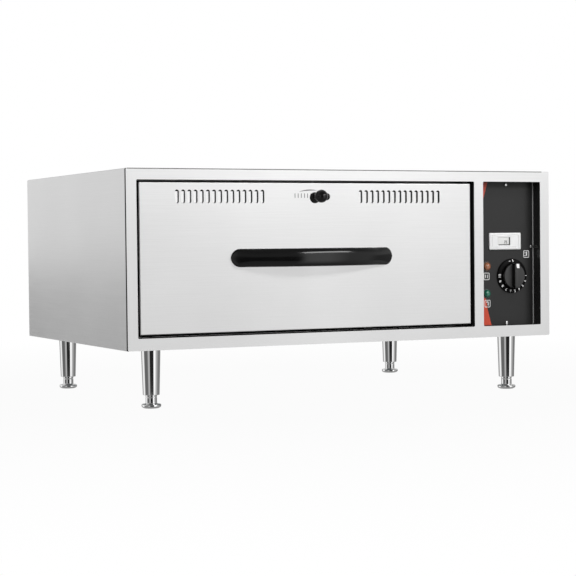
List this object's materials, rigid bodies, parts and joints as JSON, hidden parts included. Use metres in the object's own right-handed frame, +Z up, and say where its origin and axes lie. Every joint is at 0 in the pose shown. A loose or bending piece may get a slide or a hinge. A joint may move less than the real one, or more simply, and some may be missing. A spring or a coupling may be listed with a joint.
{
  "type": "warming drawer",
  "caption": "Free-standing electric warming drawer: insulated stainless cabinet on tapered legs, one pan drawer with a black bow handle, vents and a side control panel.",
  "frame": {"origin": "floor level, middle of the whole object's footprint from the handle's front to the cable gland's rear end", "axes": "+X to the right as seen from the front, +Y to the rear, +Z up; the drawer opens towards -Y"},
  "size_m": [0.74, 0.548, 0.36],
  "materials": {
    "stainless_brushed": "satin brushed stainless sheet",
    "stainless_front": "fine satin stainless sheet",
    "stainless_inner": "plain mill finish stainless",
    "zinc_steel": "bright zinc plated steel",
    "chrome": "polished",
    "black_panel": "black paint, semi gloss",
    "black_plastic": "glossy black moulding",
    "white_plastic": "white moulding",
    "display": "pale blank display",
    "lens_orange": "orange translucent lens",
    "lens_green": "green translucent lens",
    "mineral_wool": "mineral wool",
    "silicone": "grey silicone profile",
    "element_sheath": "dark oxidised sheath",
    "brown_plastic": "phenolic",
    "white_ceramic": "ceramic coloured moulding",
    "copper_tube": "copper capillary",
    "wire_insulation": "silicone wire sleeve",
    "grey_nylon": "nylon"
  },
  "bodies": {
    "cabinet": {"front_frame": "stainless_front", "outer_wrap": "stainless_brushed", "base_pan": "zinc_steel", "rear_panel": "stainless_brushed", "rear_panel_screws": "zinc_steel", "cable_gland": "grey_nylon", "cavity_liner": "stainless_inner", "partition_panel": "zinc_steel", "insulation_blanket": "mineral_wool", "insulation_bottom": "mineral_wool", "insulation_rear": "mineral_wool", "heating_element": "element_sheath", "element_clips": "stainless_inner", "heat_deflector": "stainless_inner", "leg_plates": "zinc_steel", "control_recess": "black_panel", "control_panel": "black_panel", "panel_screws": "zinc_steel", "thermostat_body": "brown_plastic", "thermostat_dial": "black_plastic", "thermostat_capillary": "copper_tube", "bulb_clips": "stainless_inner", "lamp_bodies": "grey_nylon", "lamp_lens_orange": "lens_orange", "lamp_lens_green": "lens_green", "thermometer_case": "white_plastic", "thermometer_window": "display", "terminal_block": "white_ceramic", "wiring": "wire_insulation", "slide_outer_left": "zinc_steel", "slide_outer_right": "zinc_steel", "leg_front_left": "chrome", "leg_rear_left": "chrome", "leg_front_right": "chrome", "leg_rear_right": "chrome"},
    "drawer": {"drawer_front_skin": "stainless_front", "drawer_front_inner": "stainless_inner", "drawer_insulation": "mineral_wool", "drawer_gasket": "silicone", "handle": "black_plastic", "handle_screws": "zinc_steel", "vent_guides": "zinc_steel", "pan_rack": "stainless_inner", "slide_inner_left": "zinc_steel", "slide_inner_right": "zinc_steel"},
    "vent_slider": {"vent_slider": "stainless_inner", "vent_knob": "black_plastic"},
    "food_pan": {"food_pan": "stainless_inner"},
    "thermostat_knob": {"thermostat_knob": "black_plastic", "thermostat_spindle": "zinc_steel"},
    "slide_middles": {"slide_middle_left": "zinc_steel", "slide_middle_right": "zinc_steel"},
    "ball_stage_outer": {"slide_cages_outer_stage": "zinc_steel", "slide_balls_outer_stage": "chrome"},
    "ball_stage_inner": {"slide_cages_inner_stage": "zinc_steel", "slide_balls_inner_stage": "chrome"},
    "foot_front_left": {"foot_front_left": "chrome"},
    "foot_rear_left": {"foot_rear_left": "chrome"},
    "foot_front_right": {"foot_front_right": "chrome"},
    "foot_rear_right": {"foot_rear_right": "chrome"}
  },
  "joints": [
    {"name": "drawer_slide", "type": "slide", "parent": "cabinet", "child": "drawer", "axis": [0, -1, 0], "range_m": [0, 0.39]},
    {"name": "slide_middles_travel", "type": "slide", "parent": "cabinet", "child": "slide_middles", "axis": [0, -1, 0], "range_m": [0, 0.195]},
    {"name": "ball_stage_outer_travel", "type": "slide", "parent": "cabinet", "child": "ball_stage_outer", "axis": [0, -1, 0], "range_m": [0, 0.0975]},
    {"name": "ball_stage_inner_travel", "type": "slide", "parent": "cabinet", "child": "ball_stage_inner", "axis": [0, -1, 0], "range_m": [0, 0.2925]},
    {"name": "pan_lift", "type": "slide", "parent": "drawer", "child": "food_pan", "axis": [0, 0, 1], "range_m": [0, 0.015]},
    {"name": "vent_slide", "type": "slide", "parent": "drawer", "child": "vent_slider", "axis": [1, 0, 0], "range_m": [0, 0.005]},
    {"name": "thermostat_turn", "type": "hinge", "parent": "cabinet", "child": "thermostat_knob", "pos_m": [0.31, -0.217, 0.1887], "axis": [0, 1, 0], "range_deg": [0, 270]},
    {"name": "foot_front_left_level", "type": "slide", "parent": "cabinet", "child": "foot_front_left", "axis": [0, 0, -1], "range_m": [-0.012, 0.02]},
    {"name": "foot_rear_left_level", "type": "slide", "parent": "cabinet", "child": "foot_rear_left", "axis": [0, 0, -1], "range_m": [-0.012, 0.02]},
    {"name": "foot_front_right_level", "type": "slide", "parent": "cabinet", "child": "foot_front_right", "axis": [0, 0, -1], "range_m": [-0.012, 0.02]},
    {"name": "foot_rear_right_level", "type": "slide", "parent": "cabinet", "child": "foot_rear_right", "axis": [0, 0, -1], "range_m": [-0.012, 0.02]}
  ],
  "couplings": [
    {"joint": "slide_middles_travel", "follows": "drawer_slide", "ratio": 0.5},
    {"joint": "ball_stage_outer_travel", "follows": "drawer_slide", "ratio": 0.25},
    {"joint": "ball_stage_inner_travel", "follows": "drawer_slide", "ratio": 0.75}
  ]
}
